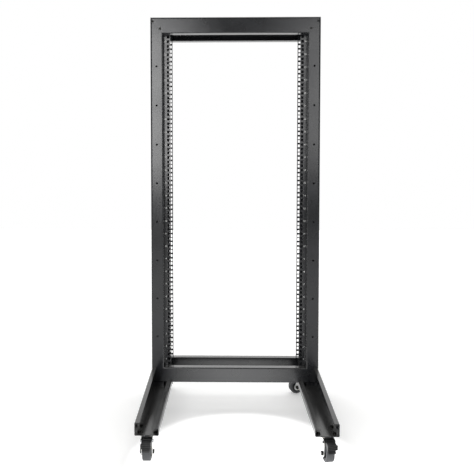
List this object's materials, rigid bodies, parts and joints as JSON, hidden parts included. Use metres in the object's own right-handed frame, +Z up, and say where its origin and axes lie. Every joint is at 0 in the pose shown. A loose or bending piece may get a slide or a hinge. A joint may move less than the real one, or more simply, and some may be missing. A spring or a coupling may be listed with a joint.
{
  "type": "two post open frame equipment rack on castors",
  "caption": "Mobile two post open frame equipment rack: folded steel posts with square-hole flanges, mitred top and bottom bars, channel feet and small swivel castors, front ones braked.",
  "frame": {"origin": "on the floor, under the middle of the width and of the whole length, castors included", "axes": "-Y is the front, with the long ends of the feet; +X is the right side seen from the front; +Z is up"},
  "size_m": [0.591, 0.6386, 1.3502],
  "materials": {
    "powder_coat_black": "satin powder coat",
    "zinc_steel": "bright zinc plated steel",
    "pedal_black": "black painted steel",
    "tyre_rubber": "dark grey rubber",
    "hub_nylon": "moulded black nylon",
    "black_zinc_steel": "black zinc plated steel"
  },
  "bodies": {
    "root": {"post_left": "powder_coat_black", "post_right": "powder_coat_black", "top_bar_front": "powder_coat_black", "top_bar_rear": "powder_coat_black", "bottom_bar_front": "powder_coat_black", "bottom_bar_rear": "powder_coat_black", "foot_left": "powder_coat_black", "foot_right": "powder_coat_black", "foot_bolts_left": "black_zinc_steel", "foot_bolts_right": "black_zinc_steel", "castor_front_left_plate": "zinc_steel", "castor_front_right_plate": "zinc_steel", "castor_rear_left_plate": "zinc_steel", "castor_rear_right_plate": "zinc_steel"},
    "castor_front_left_fork": {"castor_front_left_fork": "zinc_steel", "castor_front_left_axle": "black_zinc_steel"},
    "castor_front_left_wheel": {"castor_front_left_hub": "hub_nylon", "castor_front_left_tyre": "tyre_rubber"},
    "castor_front_left_pedal": {"castor_front_left_brake": "pedal_black"},
    "castor_front_right_fork": {"castor_front_right_fork": "zinc_steel", "castor_front_right_axle": "black_zinc_steel"},
    "castor_front_right_wheel": {"castor_front_right_hub": "hub_nylon", "castor_front_right_tyre": "tyre_rubber"},
    "castor_front_right_pedal": {"castor_front_right_brake": "pedal_black"},
    "castor_rear_left_fork": {"castor_rear_left_fork": "zinc_steel", "castor_rear_left_axle": "black_zinc_steel"},
    "castor_rear_left_wheel": {"castor_rear_left_hub": "hub_nylon", "castor_rear_left_tyre": "tyre_rubber"},
    "castor_rear_right_fork": {"castor_rear_right_fork": "zinc_steel", "castor_rear_right_axle": "black_zinc_steel"},
    "castor_rear_right_wheel": {"castor_rear_right_hub": "hub_nylon", "castor_rear_right_tyre": "tyre_rubber"}
  },
  "joints": [
    {"name": "castor_front_left_swivel", "type": "hinge", "parent": "root", "child": "castor_front_left_fork", "pos_m": [-0.2545, -0.25174, 0.07], "axis": [0, 0, 1], "continuous": true},
    {"name": "castor_front_left_spin", "type": "hinge", "parent": "castor_front_left_fork", "child": "castor_front_left_wheel", "pos_m": [-0.2545, -0.27774, 0.025], "axis": [1, 0, 0], "continuous": true},
    {"name": "castor_front_left_brake_pedal", "type": "hinge", "parent": "castor_front_left_fork", "child": "castor_front_left_pedal", "pos_m": [-0.2545, -0.28474, 0.0597], "axis": [1, 0, 0], "range_deg": [0, 12]},
    {"name": "castor_front_right_swivel", "type": "hinge", "parent": "root", "child": "castor_front_right_fork", "pos_m": [0.2545, -0.25174, 0.07], "axis": [0, 0, 1], "continuous": true},
    {"name": "castor_front_right_spin", "type": "hinge", "parent": "castor_front_right_fork", "child": "castor_front_right_wheel", "pos_m": [0.25901, -0.27735, 0.025], "axis": [0.9848, 0.1736, 0], "continuous": true},
    {"name": "castor_front_right_brake_pedal", "type": "hinge", "parent": "castor_front_right_fork", "child": "castor_front_right_pedal", "pos_m": [0.26023, -0.28424, 0.0597], "axis": [0.9848, 0.1736, 0], "range_deg": [0, 12]},
    {"name": "castor_rear_left_swivel", "type": "hinge", "parent": "root", "child": "castor_rear_left_fork", "pos_m": [-0.2545, 0.26826, 0.07], "axis": [0, 0, 1], "continuous": true},
    {"name": "castor_rear_left_spin", "type": "hinge", "parent": "castor_rear_left_fork", "child": "castor_rear_left_wheel", "pos_m": [-0.2545, 0.29426, 0.025], "axis": [-1, 0, 0], "continuous": true},
    {"name": "castor_rear_right_swivel", "type": "hinge", "parent": "root", "child": "castor_rear_right_fork", "pos_m": [0.2545, 0.26826, 0.07], "axis": [0, 0, 1], "continuous": true},
    {"name": "castor_rear_right_spin", "type": "hinge", "parent": "castor_rear_right_fork", "child": "castor_rear_right_wheel", "pos_m": [0.22927, 0.26197, 0.025], "axis": [0.2419, -0.9703, 0], "continuous": true}
  ]
}
